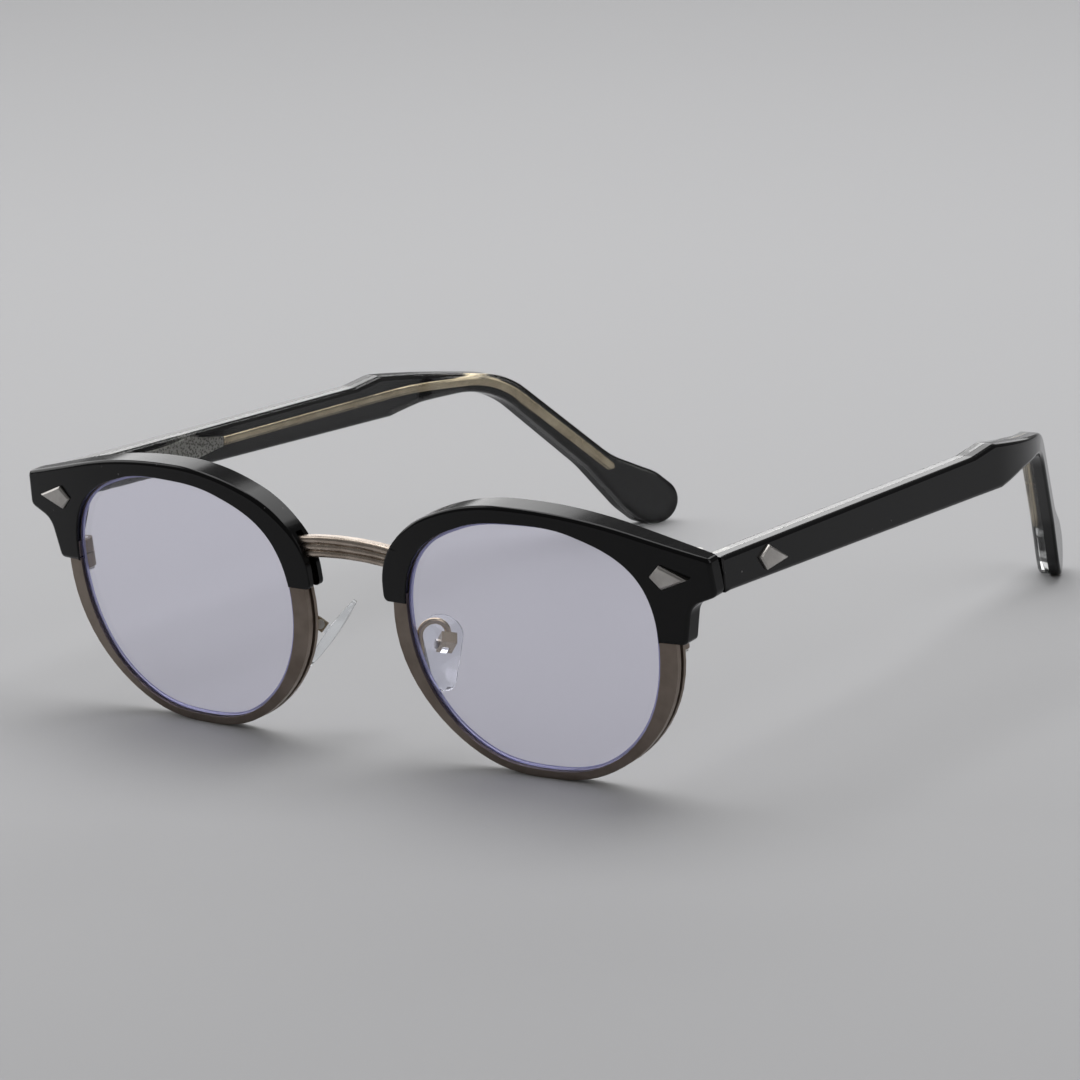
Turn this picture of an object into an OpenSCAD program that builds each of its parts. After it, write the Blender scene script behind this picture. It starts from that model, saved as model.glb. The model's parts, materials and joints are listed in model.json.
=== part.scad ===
// Browline glasses: metal eyewires with acetate brows, laminated acetate temples.
// Millimetres. +Z up, the front faces -Y, +X is the wearer's left.
// The glasses stand open on the two eyewires and the two temple tips.

/* [Lenses] */
// Width of the opening that a lens shows through
eye_w = 46.4; // [40:0.2:52]
// Gap between the two lens openings
eye_gap = 23.8; // [20:0.2:28]
// Radius of the lens curve
base_r = 200; // [140:5:400]
// Thickness of a lens
lens_t = 1.7; // [1.4:0.1:2.2]
// How far a lens reaches into the groove of its eyewire
lens_bite = 0.7; // [0.4:0.05:0.9]

/* [Eyewires] */
// Width of the eyewire seen from the front, at its lowest point
rim_w = 1.3; // [1.1:0.1:1.8]
// Width that the face band gains towards its two upper ends
rim_flare = 1.6; // [0:0.1:1.6]
// Depth of the eyewire, front to back
rim_d = 2.2; // [2:0.1:2.6]
// Width and depth of the line round the outer side of the eyewire
rim_line = 0.5; // [0.2:0.05:0.7]

/* [Brows] */
// Height of the top of the brows above the lens centres
brow_top = 22.2; // [21:0.1:26]
// Distance from the middle to the outer edge of an end piece
brow_end = 69.2; // [66:0.2:76]
// Height of an end piece at its outer edge
brow_end_h = 5.7; // [5.4:0.1:7]
// Radius that the front face of a brow is curved to
brow_r = 280; // [200:10:500]
// Depth of the brow at the middle of the lens
brow_d = 4.6; // [4.4:0.1:5.4]
// Clearance between a brow and the eyewire in its channel
brow_fit = 0.05; // [0.02:0.01:0.1]

/* [Front] */
// Angle that each half of the front is turned back
wrap = 2.7; // [0:0.1:6]
// Angle of the temples to the front, seen from the side
temple_slope = 5.8; // [2:0.1:10]

/* [Temples] */
// Thickness of a temple, both layers together
temple_t = 4; // [3.4:0.1:4.6]
// Thickness of the black outer layer
black_t = 2; // [1.6:0.1:2.4]
// Straight length of a temple, from the hinge to where it starts to curve in
temple_run = 76; // [60:1:90]
// Length along a temple from the front to the top of the ear bend
temple_bend = 101; // [92:1:115]
// Length along a temple from the front to the middle of its rounded end
temple_end = 127; // [118:1:145]
// Radius that a temple is curved to round the head
temple_r = 47; // [36:1:140]
// Length of that curve, which the straight rear end follows
temple_round = 22; // [10:1:30]
// Inward lean of the straight length
temple_lean = 3.1; // [0:0.1:6]
// Height of a temple at the hinge
temple_h = 5.4; // [5.2:0.1:6.4]
// Height of a temple just before the ear bend
knee_h = 7.4; // [6.4:0.1:9]
// Radius of the rounded end
tip_r = 4.1; // [3.4:0.1:5]

/* [Hinges] */
// Outside diameter of the hinge barrels
barrel_d = 2.4; // [2.2:0.1:2.8]
// Diameter of the hinge screw
pin_d = 1.2; // [1:0.1:1.4]
// Radial clearance of the temple barrels on the hinge screw
pin_fit = 0.05; // [0.03:0.01:0.08]
// Gap between neighbouring barrels
barrel_gap = 0.08; // [0.05:0.01:0.12]
// Height of the five barrels together
hinge_h = 4.6; // [4.2:0.1:5]

/* [Bridge] */
// Height of the bridge bar
bridge_h = 3.3; // [2.8:0.1:4.2]
// Height of the middle of the bridge above the lens centres
bridge_z = 11.6; // [9:0.1:13]
// Radius of the arch of the bridge
bridge_r = 70; // [40:5:200]

/* [Nose pads] */
// Length of a nose pad
pad_l = 12.8; // [11:0.2:16]
// Width of a nose pad
pad_w = 6.6; // [6:0.2:9]
// Radius of the narrow lower end of a nose pad
pad_tip = 2; // [1.4:0.1:2.6]
// Thickness of a nose pad at its middle
pad_t = 1.8; // [1.4:0.1:2.6]
// Diameter of the pad arm wire
arm_d = 1; // [0.8:0.1:1.2]
// Radius of the loop of a pad arm
arm_r = 2.2; // [2:0.1:3.2]

/* [Studs] */
// Height that a stud stands proud of the acetate
stud_t = 0.6; // [0.3:0.1:1]
// Depth that a stud is let in
stud_in = 0.5; // [0.3:0.1:0.9]

/* [Hidden] */
$fn = 48;

// Opening of a lens: its radius every 30 degrees from the temple side, the way a lens
// tracer reads it, scaled to the width asked for
eye_radii = [23.2, 24.5, 21.4, 19.6, 21.0, 23.8, 23.2, 22.1, 20.8, 19.6, 20.7, 22.1];
eye_k = eye_w / (eye_radii[0] + eye_radii[6]);
eye_x = (eye_gap + eye_w) / 2;
turn = 5;
function er(i) = eye_k * eye_radii[(i % 12 + 12) % 12];
function eye_rad(t) = let (i = floor(t / 30), f = t / 30 - i,
    a = er(i - 1), b = er(i), c = er(i + 1), d = er(i + 2))
    b + (c - a) * f / 2 + (2 * a - 5 * b + 4 * c - d) * f * f / 2
    + (3 * b - a - 3 * c + d) * f * f * f / 2;
function eye_pt(t) = eye_rad(t) * [cos(t), sin(t)];
// A point of the opening moved outwards by d
function eye_off(t, d) = let (g = eye_pt(t + 1) - eye_pt(t - 1))
    eye_pt(t) + d * [g.y, -g.x] / norm(g);
// Width of the eyewire seen from the front, which grows towards its upper ends
function face_w(t) = rim_w + rim_flare * pow(abs(cos(t)), 6);

// Depths behind the front of the lens curve, at the middle of a lens
rim_f = -0.3;
rim_b = rim_f + rim_d;
ring_f = 0.2;
groove_f = 0.5;
groove_b = 1.2;
lens_f = 0.1;
lens_fit = 0.04;
line_f = rim_f + 0.9;
line_b = rim_b - 0.6;
band_top = 6.2;
brow_f = -0.2;
brow_b = brow_f + brow_d;
flange_b = brow_b - 0.85;

// Hinge and closing block
seam = 0.1;
hinge_z = 13.5;
hinge_x = brow_end - 5.8;
hinge_y = brow_b + 1.9;
leaf_t = 1;
close_z = 3.5;
close_x = eye_x + er(0) + 1.5;
close_r = 1.1;
close_gap = 0.02; // the seat is flat and the eyewire curved, so it stands off by this
close_y = rim_b + (pow(close_x - eye_x, 2) + close_z * close_z) / (2 * base_r) + close_r + 0.35;

function unit(v) = v / norm(v);
// Points of the arc that rounds the corner b between a and c with radius r
function corner(a, b, c, r) = let (u = unit(a - b), v = unit(c - b),
    w = acos(max(-1, min(1, u * v))), m = b + unit(u + v) * r / sin(w / 2),
    p = b + u * r / tan(w / 2) - m, q = b + v * r / tan(w / 2) - m,
    a0 = atan2(p.y, p.x), a1 = atan2(q.y, q.x),
    s = a1 - a0 > 180 ? a1 - a0 - 360 : a1 - a0 < -180 ? a1 - a0 + 360 : a1 - a0,
    n = max(2, ceil(abs(s) / turn)))
    [for (k = [0:n]) m + r * [cos(a0 + s * k / n), sin(a0 + s * k / n)]];
function xy(p) = [p[0], p[1]];
// Outline through corners [x, y, radius]
function rounded(c) = let (n = len(c)) [for (i = [0:n - 1])
    each (c[i][2] > 0 ? corner(xy(c[(i + n - 1) % n]), xy(c[i]), xy(c[(i + 1) % n]), c[i][2])
                      : [xy(c[i])])];
// The same for an open line
function bent(c) = let (n = len(c)) [for (i = [0:n - 1])
    each (c[i][2] > 0 && i > 0 && i < n - 1
        ? corner(xy(c[i - 1]), xy(c[i]), xy(c[i + 1]), c[i][2]) : [xy(c[i])])];
// Extra points so that no edge is longer than d
function fine(c, d) = let (n = len(c)) [for (i = [0:n - 1])
    let (a = c[i], b = c[(i + 1) % n], m = max(1, ceil(norm(b - a) / d)))
    for (k = [0:m - 1]) a + (b - a) * k / m];

// Half of the front: x outwards, y back, z up, turned back by the wrap
module half(s) mirror([s < 0 ? 1 : 0, 0, 0]) rotate([0, 0, wrap]) children();
module slab(a, b) translate([0, b, 0]) rotate([90, 0, 0]) linear_extrude(b - a) children();
module dome(w) translate([eye_x, base_r + w, 0]) sphere(r = base_r, $fn = 240);
module between(a, b) difference() {
    intersection() {
        slab(-4, 9) children();
        dome(a);
    }
    dome(b);
}
module eye_2d(d) translate([eye_x, 0]) polygon([for (t = [0:turn:359]) eye_off(t, d)]);
module face_2d(d) translate([eye_x, 0])
    polygon([for (t = [0:turn:359]) eye_off(t, face_w(t) + d)]);
module below(z) intersection() {
    children();
    translate([0, z - 60]) square([100, 60]);
}

// Eyewire: wide face band below, plain wire under the brow, groove inside, line outside
module eyewire(s) color([0.45, 0.39, 0.33]) half(s) difference() {
    union() {
        between(rim_f, rim_b) below(band_top) face_2d(0);
        between(ring_f, rim_b) eye_2d(rim_w);
    }
    slab(-4, 9) eye_2d(0);
    between(groove_f, groove_b) eye_2d(lens_bite + lens_fit);
    between(line_f, line_b) difference() {
        below(band_top + 1) face_2d(3);
        face_2d(-rim_line);
    }
    translate([eye_x + er(0) - 1, -2, close_z - 0.1]) cube([5, 9, 0.2]);
}

module lens(s) color([0.62, 0.62, 0.75, 0.35]) half(s) {
    between(lens_f, lens_f + lens_t) eye_2d(-lens_fit);
    between(groove_f + lens_fit, groove_b - lens_fit) eye_2d(lens_bite);
}

// Closing block: two barrels soldered behind the split in the eyewire, one screw
module closing_half(s, z0, z1, tap) color([0.75, 0.62, 0.42]) half(s) difference() {
    union() {
        translate([close_x, close_y, z0]) cylinder(r = close_r, h = z1 - z0);
        intersection() {
            translate([close_x - 3, 0, z0]) cube([6, 12, z1 - z0]);
            translate([eye_x, base_r + rim_b, 0])
                rotate([-asin(close_z / base_r), 0, asin((close_x - eye_x) / base_r)])
                    translate([-1, close_gap - base_r, -4]) cube([2, close_r + 0.35, 8]);
        }
    }
    translate([close_x, close_y, z0 - 1]) cylinder(d = tap, h = z1 - z0 + 2);
}
module closing_screw(s) color([0.82, 0.8, 0.76]) half(s) translate([close_x, close_y, 0]) difference() {
    union() {
        translate([0, 0, close_z - 2.4]) cylinder(d = 0.9, h = 4.7);
        translate([0, 0, close_z - 2.9]) cylinder(r = 0.85, h = 0.5);
    }
    translate([-1, -0.12, close_z - 3]) cube([2, 0.24, 0.35]);
}

// Brow, seen from the front
brow_line = rounded([
    [7.5, 4.5, 0.9], [7.7, 11.2, 11], [14.4, brow_top - 4.3, 20], [26.2, brow_top, 40],
    [45.2, brow_top, 90], [brow_end - 0.5, hinge_z + 3.1, 0.5],
    [brow_end, hinge_z + 3.1 - brow_end_h, 1.2], [brow_end - 4.6, 9.1, 3],
    [brow_end - 6, 2.9, 0.9], [eye_x + 20, 3.1, 0], [eye_x, 9, 0], [eye_x - 20, 4.6, 0],
]);
module brow_2d() polygon(brow_line);
// Rear of the brow: open to the lens, but cut straight across the upper outer corner
module rear_cut_2d() intersection() {
    eye_2d(0.8);
    polygon([[0, -20], [0, 30], [30, 22.3], [43, 17.9], [56.2, 13.4], [59.2, 6.6], [62, -20]]);
}
module brow_solid() difference() {
    intersection() {
        slab(-2, brow_b) brow_2d();
        translate([eye_x, brow_f + brow_r, 0]) cylinder(r = brow_r, h = 80, center = true, $fn = 720);
    }
    slab(-4, flange_b) eye_2d(0);
    slab(flange_b - 0.01, 9) rear_cut_2d();
    between(ring_f - brow_fit, rim_b + brow_fit) eye_2d(rim_w + brow_fit);
    between(rim_f - brow_fit, rim_b + brow_fit) below(band_top + brow_fit) face_2d(brow_fit);
    // the nasal side is open for the bridge and the eyewire
    between(ring_f - brow_fit, rim_b + brow_fit) translate([4, 2]) square([12, 11.4]);
    // room for the closing block
    translate([eye_x + er(0) - 1, close_y - close_r - 0.5, 0])
        cube([close_x + close_r + 0.25 - eye_x - er(0) + 1, 6, band_top + 0.3]);
}
module brow(s) color([0.05, 0.05, 0.05]) difference() {
    half(s) difference() {
        brow_solid();
        front_stud_form(0);
        leaf_plate();
        leaf_pins(0);
    }
    bridge_form(brow_fit);
}

// Kite, long point along +x
function kite(l, h, g) = [[-l * 0.29 - g, 0], [0, h / 2 + g], [l * 0.71 + g, 0], [0, -h / 2 - g]];
module stud(l, h) {
    translate([0, 0, -stud_in]) linear_extrude(stud_in + stud_t / 2) polygon(kite(l, h, 0));
    hull() {
        translate([0, 0, stud_t / 2 - 0.02]) linear_extrude(0.02) polygon(kite(l, h, 0));
        translate([0, 0, stud_t - 0.02]) linear_extrude(0.02) polygon(kite(l - 1, h - 0.8, 0));
    }
}
front_stud_l = 6.7;
front_stud_h = 3.8;
stud_pin_d = 1;
module front_stud_form(g) translate([brow_end - 8.8, 0, hinge_z]) {
    translate([0, brow_f + front_sag(brow_end - 8.8), 0]) rotate([90, 0, 0])
        translate([0, 0, -stud_in]) linear_extrude(4) polygon(kite(front_stud_l, front_stud_h, g));
}
function front_sag(x) = brow_r - sqrt(brow_r * brow_r - (x - eye_x) * (x - eye_x));
module front_stud(s) color([0.78, 0.76, 0.73]) half(s) {
    translate([brow_end - 8.8, brow_f + front_sag(brow_end - 8.8), hinge_z]) rotate([90, 0, 0])
        stud(front_stud_l, front_stud_h);
    leaf_pins(0);
}
// Two pins hold stud, end piece and hinge plate together
module leaf_pins(g) for (x = [-0.6, 2.4]) translate([brow_end - 8.8 + x, brow_b, hinge_z])
    rotate([90, 0, 0]) cylinder(d = stud_pin_d + 2 * g, h = brow_b - brow_f - front_sag(brow_end - 8.8) - stud_in + 0.2);

// Hinge: three barrels on the front, two on the temple
pitch = hinge_h / 5;
module barrel(i, r) translate([hinge_x, hinge_y, hinge_z - hinge_h / 2 + i * pitch + barrel_gap / 2])
    cylinder(r = r, h = pitch - barrel_gap);
module leaf_plate() translate([brow_end - 10.9, brow_b - leaf_t, hinge_z - hinge_h / 2])
    cube([7, leaf_t, hinge_h]);
module hinge_bore(g) translate([hinge_x, hinge_y, hinge_z - 5]) cylinder(d = pin_d + 2 * g, h = 10);
module hinge_leaf(s) color([0.8, 0.78, 0.74]) half(s) difference() {
    union() {
        leaf_plate();
        for (i = [0, 2, 4]) {
            barrel(i, barrel_d / 2);
            translate([hinge_x - barrel_d / 2, brow_b - 0.5, hinge_z - hinge_h / 2 + i * pitch + barrel_gap / 2])
                cube([barrel_d, hinge_y - brow_b + 0.5, pitch - barrel_gap]);
        }
    }
    hinge_bore(pin_fit);
    leaf_pins(0);
}
module hinge_screw(s) color([0.85, 0.84, 0.82]) half(s) translate([hinge_x, hinge_y, hinge_z]) difference() {
    union() {
        translate([0, 0, -hinge_h / 2]) cylinder(d = pin_d, h = hinge_h);
        translate([0, 0, hinge_h / 2 - barrel_gap / 2]) cylinder(d = 2, h = 0.5);
    }
    translate([-1.2, -0.15, hinge_h / 2 + 0.2]) cube([2.4, 0.3, 1]);
}

// Temple: x outwards, y along it, z up, from the outer face at the seam
module temple_frame(s) half(s) translate([brow_end, brow_b + seam, hinge_z])
    rotate([-temple_slope, 0, 0]) rotate([0, 0, temple_lean - wrap]) children();
module temple_front(s) intersection() {
    children();
    half(s) translate([0, brow_b + seam, -80]) cube([120, 300, 160]);
}
round_a = temple_round / temple_r * 180 / PI;
round_y = temple_run + temple_r * sin(round_a);
function along(s) = s <= temple_run ? s
    : s <= temple_run + temple_round ? temple_run + temple_r * sin((s - temple_run) / temple_r * 180 / PI)
    : round_y + (s - temple_run - temple_round) * cos(round_a);
function laid(c) = [for (p = fine(c, 5)) [along(p.x), p.y]];
module side(x0, x1) translate([x0, 0, 0]) rotate([90, 0, 90]) linear_extrude(x1 - x0) children();
// The layer of a temple between two depths under its outer face: straight, round, straight
module layer(a, b) intersection() {
    translate([0, 0, -50]) linear_extrude(70) {
        translate([-b, -3]) square([b - a, temple_run + 3.001]);
        translate([-temple_r, temple_run]) {
            intersection() {
                difference() {
                    circle(r = temple_r - a, $fn = 360);
                    circle(r = temple_r - b, $fn = 360);
                }
                polygon([[0, 0], [2 * temple_r, 0], 2 * temple_r * [1, tan(round_a)]]);
            }
            rotate([0, 0, round_a]) translate([temple_r - b, -0.001]) square([b - a, 2 * temple_end]);
        }
    }
    side(-80, 2) children();
}

// The glasses stand on the front edge of the eyewires and on the rounded temple ends
tilt = 3.8;
function turn_x(p, a) = [p.x, p.y * cos(a) - p.z * sin(a), p.y * sin(a) + p.z * cos(a)];
function turn_z(p, a) = [p.x * cos(a) - p.y * sin(a), p.x * sin(a) + p.y * cos(a), p.z];
function stood(p) = turn_x(turn_z(p, wrap), tilt);
function sag(r, d) = r - sqrt(r * r - d * d);
function rim_edge(t) = let (q = eye_off(t, face_w(t)))
    stood([eye_x + q.x, rim_f + sag(base_r, norm(q)), q.y]);
floor_z = min([for (t = [240:turn:300]) rim_edge(t).z]);
function on_temple(p) = stood([brow_end, brow_b + seam, hinge_z]
    + turn_x(turn_z(p, temple_lean - wrap), -temple_slope));
function face_x(y) = y <= temple_run ? 0 : y <= round_y ? -sag(temple_r, y - temple_run)
    : -sag(temple_r, round_y - temple_run) - (y - round_y) * tan(round_a);
tip_y = along(temple_end);
tip_0 = on_temple([face_x(tip_y) - temple_t, tip_y, 0]);
tip_z = (floor_z + tip_r - tip_0.z) / cos(temple_slope - tilt);
tip_c = [temple_end, tip_z];
bend_c = [temple_bend - 1.5, -1.2];
tip_d = unit(tip_c - bend_c);
tip_n = [-tip_d.y, tip_d.x];
function tip_at(d, n, r) = let (p = tip_c + d * tip_d + n * tip_n) [p.x, p.y, r];
knee_s = temple_run - 0.6;
temple_line = rounded([
    [-3, temple_h / 2, 0], [knee_s - 6, temple_h / 2 - 0.1, 6], [knee_s, knee_h / 2 - 0.3, 3],
    [knee_s + 10, 2, 10], [temple_bend, -0.3, 13], tip_at(-12, 1.6, 15), tip_at(-3.4, tip_r, 7),
    tip_at(tip_r, tip_r, tip_r - 0.01), tip_at(tip_r, -tip_r, tip_r - 0.01),
    tip_at(-3.4, -tip_r, 12), tip_at(-14, -2.4, 20), [temple_bend - 2.9, -2.2, 15],
    [knee_s + 9, -2.8, 10], [knee_s + 2, -knee_h / 2 - 0.3, 3], [-3, -temple_h / 2, 0],
]);
module temple_side() polygon(laid(temple_line));

// Core wire and the spear-shaped plate that it starts from
core_t = 0.9;
core_h = 1.6;
plate_end = 38;
core_path = bent([[plate_end, -0.3, 0], [knee_s + 8, -0.3, 30], [temple_bend - 1.2, -1, 14], tip_at(-10, 0.3, 0)]);
function edge(c, w) = [for (i = [0:len(c) - 1])
    let (t = unit(c[min(i + 1, len(c) - 1)] - c[max(i - 1, 0)])) c[i] + w * [-t.y, t.x]];
function stroke(c, w) = let (a = edge(c, w / 2), b = edge(c, -w / 2), n = len(c) - 1)
    concat(a, [c[n] + unit(c[n] - c[n - 1]) * w * 0.45], [for (i = [n:-1:0]) b[i]]);
module core_side() polygon(laid(stroke(core_path, core_h)));
module plate_side() polygon(rounded([
    [3, -1.9, 0.3], [3, 1.5, 0.3], [24, 1.4, 4], [30.5, 1.8, 2], [plate_end, -0.3 + core_h / 2, 0],
    [plate_end, -0.3 - core_h / 2, 0], [30.5, -2.2, 2], [24, -1.8, 4],
]));
module temple(s) color([0.05, 0.05, 0.05]) temple_front(s) difference() {
    temple_frame(s) layer(0, black_t) temple_side();
    temple_frame(s) temple_stud_form();
}
module temple_lining(s) color([0.75, 0.76, 0.74, 0.5]) temple_front(s) difference() {
    temple_frame(s) layer(black_t, temple_t) temple_side();
    temple_frame(s) layer(black_t - 0.01, black_t + core_t) {
        core_side();
        plate_side();
    }
    half(s) leaf_root(0);
    half(s) translate([hinge_x, hinge_y, hinge_z - 10]) cylinder(r = barrel_d / 2 + 0.3, h = 20);
}
module core_wire(s) color([0.8, 0.7, 0.5]) temple_frame(s) layer(black_t, black_t + core_t) core_side();

// Root of the temple half of the hinge, let into the lining
module leaf_root(g) translate([hinge_x + barrel_d / 2 + 0.35, brow_b + seam + 0.6, hinge_z - hinge_h / 2 + pitch + barrel_gap / 2 - g])
    cube([brow_end - black_t - hinge_x - barrel_d / 2 - 0.5, 5.4, 3 * pitch - barrel_gap + 2 * g]);
module temple_leaf(s) color([0.72, 0.7, 0.66]) {
    half(s) difference() {
        union() {
            leaf_root(0);
            for (i = [1, 3]) {
                barrel(i, barrel_d / 2);
                translate([hinge_x, hinge_y - 0.2, hinge_z - hinge_h / 2 + i * pitch + barrel_gap / 2])
                    cube([barrel_d / 2 + 0.4, barrel_d / 2 + 0.2, pitch - barrel_gap]);
            }
        }
        hinge_bore(pin_fit);
    }
    temple_frame(s) layer(black_t, black_t + core_t) plate_side();
}
temple_stud_l = 7.6;
temple_stud_h = 3.8;
module temple_stud_form() translate([0, 11.2, 0.1]) rotate([90, 0, 90]) rotate([0, 0, -12])
    translate([0, 0, -stud_in]) linear_extrude(4) polygon(kite(temple_stud_l, temple_stud_h, 0));
module temple_stud(s) color([0.78, 0.76, 0.73]) temple_frame(s) translate([0, 11.2, 0.1])
    rotate([90, 0, 90]) rotate([0, 0, -12]) stud(temple_stud_l, temple_stud_h);

// Bridge: an arched bar with three flutes
bridge_y = 2.4;
bridge_t = 1.7;
rib = bridge_h / 3;
module bridge_form(g) translate([0, 0, bridge_z - bridge_r]) rotate([90, 0, 0]) rotate([0, 0, 79])
    rotate_extrude(angle = 22, $fn = 360) translate([bridge_r, -bridge_y]) {
        translate([-bridge_h / 2 - g + 0.05, -bridge_t - g]) square([bridge_h + 2 * g - 0.1, bridge_t - 0.5 + g]);
        for (i = [-1:1]) translate([i * rib, -rib * 0.56]) circle(r = rib * 0.56 + g, $fn = 24);
    }
module bridge() color([0.72, 0.66, 0.58]) difference() {
    bridge_form(0);
    for (s = [-1, 1]) half(s) slab(-4, 9) eye_2d(rim_w);
}

// Nose pads. Each arm rises behind the eyewire, loops back and ends in the pad box
arm_x = eye_x - er(6) - 0.6;
foot_r = 0.9;
foot_z = -4.6;
foot_l = 0.2;
arm_y = rim_b + sag(base_r, norm([eye_x - arm_x, foot_z])) + arm_x * sin(wrap) + foot_r + foot_l + 0.06;
arm_z = -1.85;
arm_a = 53.4;
wire_x = 1.8;
box_w = 2.4;
box_h = 1.8;
lug_t = 1;
lug_r = 0.75;
lug_gap = 0.08;
pad_screw_d = 0.8;
arm_end = [arm_x + 2 * arm_r * cos(arm_a), arm_y + 2 * arm_r * sin(arm_a), arm_z - 0.4];
module flip(s) mirror([s < 0 ? 1 : 0, 0, 0]) children();
// Frame of a pad box: the pad rocks about y, -x faces the nose, z runs along the pad
module pad_frame(s) flip(s) translate(arm_end) rotate([0, 0, -40]) rotate([-17, 0, 0])
    rotate([0, -43, 0]) translate([-wire_x, 0, -box_h / 2]) children();
module wire(h) cylinder(d = arm_d, h = h, $fn = 24);
module wire_end(s) flip(s) translate(arm_end - [0, 0, wire_in - 0.4]) wire(wire_in);
wire_in = 0.9;
module pad_arm(s) color([0.8, 0.72, 0.58]) flip(s) translate([arm_x, arm_y, arm_z]) rotate([0, 0, arm_a]) {
    translate([arm_r, 0, 0]) rotate([90, 0, 0])
        rotate_extrude(angle = 180) translate([arm_r, 0]) circle(d = arm_d, $fn = 24);
    translate([2 * arm_r, 0, -wire_in]) wire(wire_in);
    translate([0, 0, foot_z + foot_r - arm_z]) {
        wire(arm_z - foot_z - foot_r);
        rotate([0, 0, -arm_a]) translate([0, -foot_r, 0]) {
            rotate([0, 90, 0]) rotate_extrude(angle = 90)
                translate([foot_r, 0]) circle(d = arm_d, $fn = 24);
            translate([0, 0, -foot_r]) rotate([90, 0, 0]) wire(foot_l);
        }
    }
}
module pad_pin(g) rotate([90, 0, 0]) cylinder(d = pad_screw_d + 2 * g, h = 5, center = true, $fn = 24);
module pad_box(s) color([0.82, 0.74, 0.6]) difference() {
    pad_frame(s) difference() {
        translate([-1, -box_w / 2, -box_h / 2]) cube([wire_x + 1.8, box_w, box_h]);
        translate([-2, -lug_t / 2 - lug_gap, -2]) cube([2 + lug_r + pin_fit, lug_t + 2 * lug_gap, 4]);
        pad_pin(0);
    }
    wire_end(s);
}
module pad_screw(s) color([0.85, 0.84, 0.82]) pad_frame(s) difference() {
    union() {
        rotate([90, 0, 0]) cylinder(d = pad_screw_d, h = box_w, center = true, $fn = 24);
        translate([0, -box_w / 2, 0]) rotate([90, 0, 0]) cylinder(r = lug_r, h = 0.4, $fn = 24);
    }
    translate([-1, -box_w / 2 - 0.5, -0.1]) cube([2, 0.3, 0.2]);
}
pad_x = -2.3;
pad_z = -0.2;
pad_r = 34;
pad_lean = 0.3;
// Outline of a nose pad: round at the top and narrower below
module pad_2d() {
    r = pad_w / 2;
    drop = [pad_lean, pad_tip + r - pad_l];
    a = atan2(drop.y, drop.x);
    b = acos((r - pad_tip) / norm(drop));
    edge = [for (i = [-1, 1]) [cos(a + i * b), sin(a + i * b)]];
    translate([0, pad_l / 2 - r]) {
        circle(r = r);
        translate(drop) circle(r = pad_tip);
        polygon([for (p = [[0, r, 0], [1, pad_tip, 0], [1, pad_tip, 1], [0, r, 1]])
            p[0] * drop + (p[1] - 0.02) * edge[p[2]]]);
    }
}
module nose_pad(s) color([0.85, 0.87, 0.9, 0.5]) pad_frame(s) difference() {
    union() {
        translate([pad_x, 0, pad_z]) intersection() {
            rotate([90, 0, 90]) linear_extrude(2 * pad_t, center = true) pad_2d();
            translate([pad_t / 2 - pad_r, 0, 0]) sphere(r = pad_r, $fn = 240);
            translate([pad_r - pad_t / 2, 0, 0]) sphere(r = pad_r, $fn = 240);
        }
        translate([pad_x, -lug_t / 2, -lug_r]) cube([-pad_x, lug_t, 2 * lug_r]);
        rotate([90, 0, 0]) cylinder(r = lug_r, h = lug_t, center = true);
    }
    pad_pin(pin_fit);
}

// Everything is set down on the floor, half way between its front and its back
front_y = min([for (p = brow_line) stood([p.x, brow_f + sag(brow_r, p.x - eye_x), p.y]).y]);
back_y = max([for (p = laid(temple_line)) max([for (x = [0, -temple_t]) on_temple([face_x(p.x) + x, p.x, p.y]).y])]);
module set_down() translate([0, -(front_y + back_y) / 2, -floor_z]) rotate([tilt, 0, 0]) children();

set_down() eyewire(1);  // eyewire_left
set_down() eyewire(-1);  // eyewire_right
set_down() lens(1);  // lens_left
set_down() lens(-1);  // lens_right
set_down() brow(1);  // brow_left
set_down() brow(-1);  // brow_right
set_down() front_stud(1);  // front_stud_left
set_down() front_stud(-1);  // front_stud_right
set_down() hinge_leaf(1);  // hinge_leaf_left
set_down() hinge_leaf(-1);  // hinge_leaf_right
set_down() hinge_screw(1);  // hinge_screw_left
set_down() hinge_screw(-1);  // hinge_screw_right
set_down() temple(1);  // temple_left
set_down() temple(-1);  // temple_right
set_down() temple_lining(1);  // temple_lining_left
set_down() temple_lining(-1);  // temple_lining_right
set_down() core_wire(1);  // core_wire_left
set_down() core_wire(-1);  // core_wire_right
set_down() temple_leaf(1);  // temple_leaf_left
set_down() temple_leaf(-1);  // temple_leaf_right
set_down() temple_stud(1);  // temple_stud_left
set_down() temple_stud(-1);  // temple_stud_right
set_down() pad_arm(1);  // pad_arm_left
set_down() pad_arm(-1);  // pad_arm_right
set_down() pad_box(1);  // pad_box_left
set_down() pad_box(-1);  // pad_box_right
set_down() pad_screw(1);  // pad_screw_left
set_down() pad_screw(-1);  // pad_screw_right
set_down() nose_pad(1);  // nose_pad_left
set_down() nose_pad(-1);  // nose_pad_right
set_down() closing_screw(1);  // closing_screw_left
set_down() closing_screw(-1);  // closing_screw_right
set_down() closing_half(1, close_z + 0.1, close_z + 2.3, 0.94);  // closing_block_upper_left
set_down() closing_half(-1, close_z + 0.1, close_z + 2.3, 0.94);  // closing_block_upper_right
set_down() closing_half(1, close_z - 2.4, close_z - 0.1, 0.94);  // closing_block_lower_left
set_down() closing_half(-1, close_z - 2.4, close_z - 0.1, 0.94);  // closing_block_lower_right
set_down() bridge();
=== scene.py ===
"""Looks of a pair of browline glasses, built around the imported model.

The model's solids carry the sizes. Here the acetate and the lenses are built
again as finer forms in the same places, every other solid gets rounded edges,
and each piece gets its finish. World coordinates are metres, +Z up, the front
facing -Y and +X to the wearer's left. Sizes in the classes are millimetres.
"""

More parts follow.
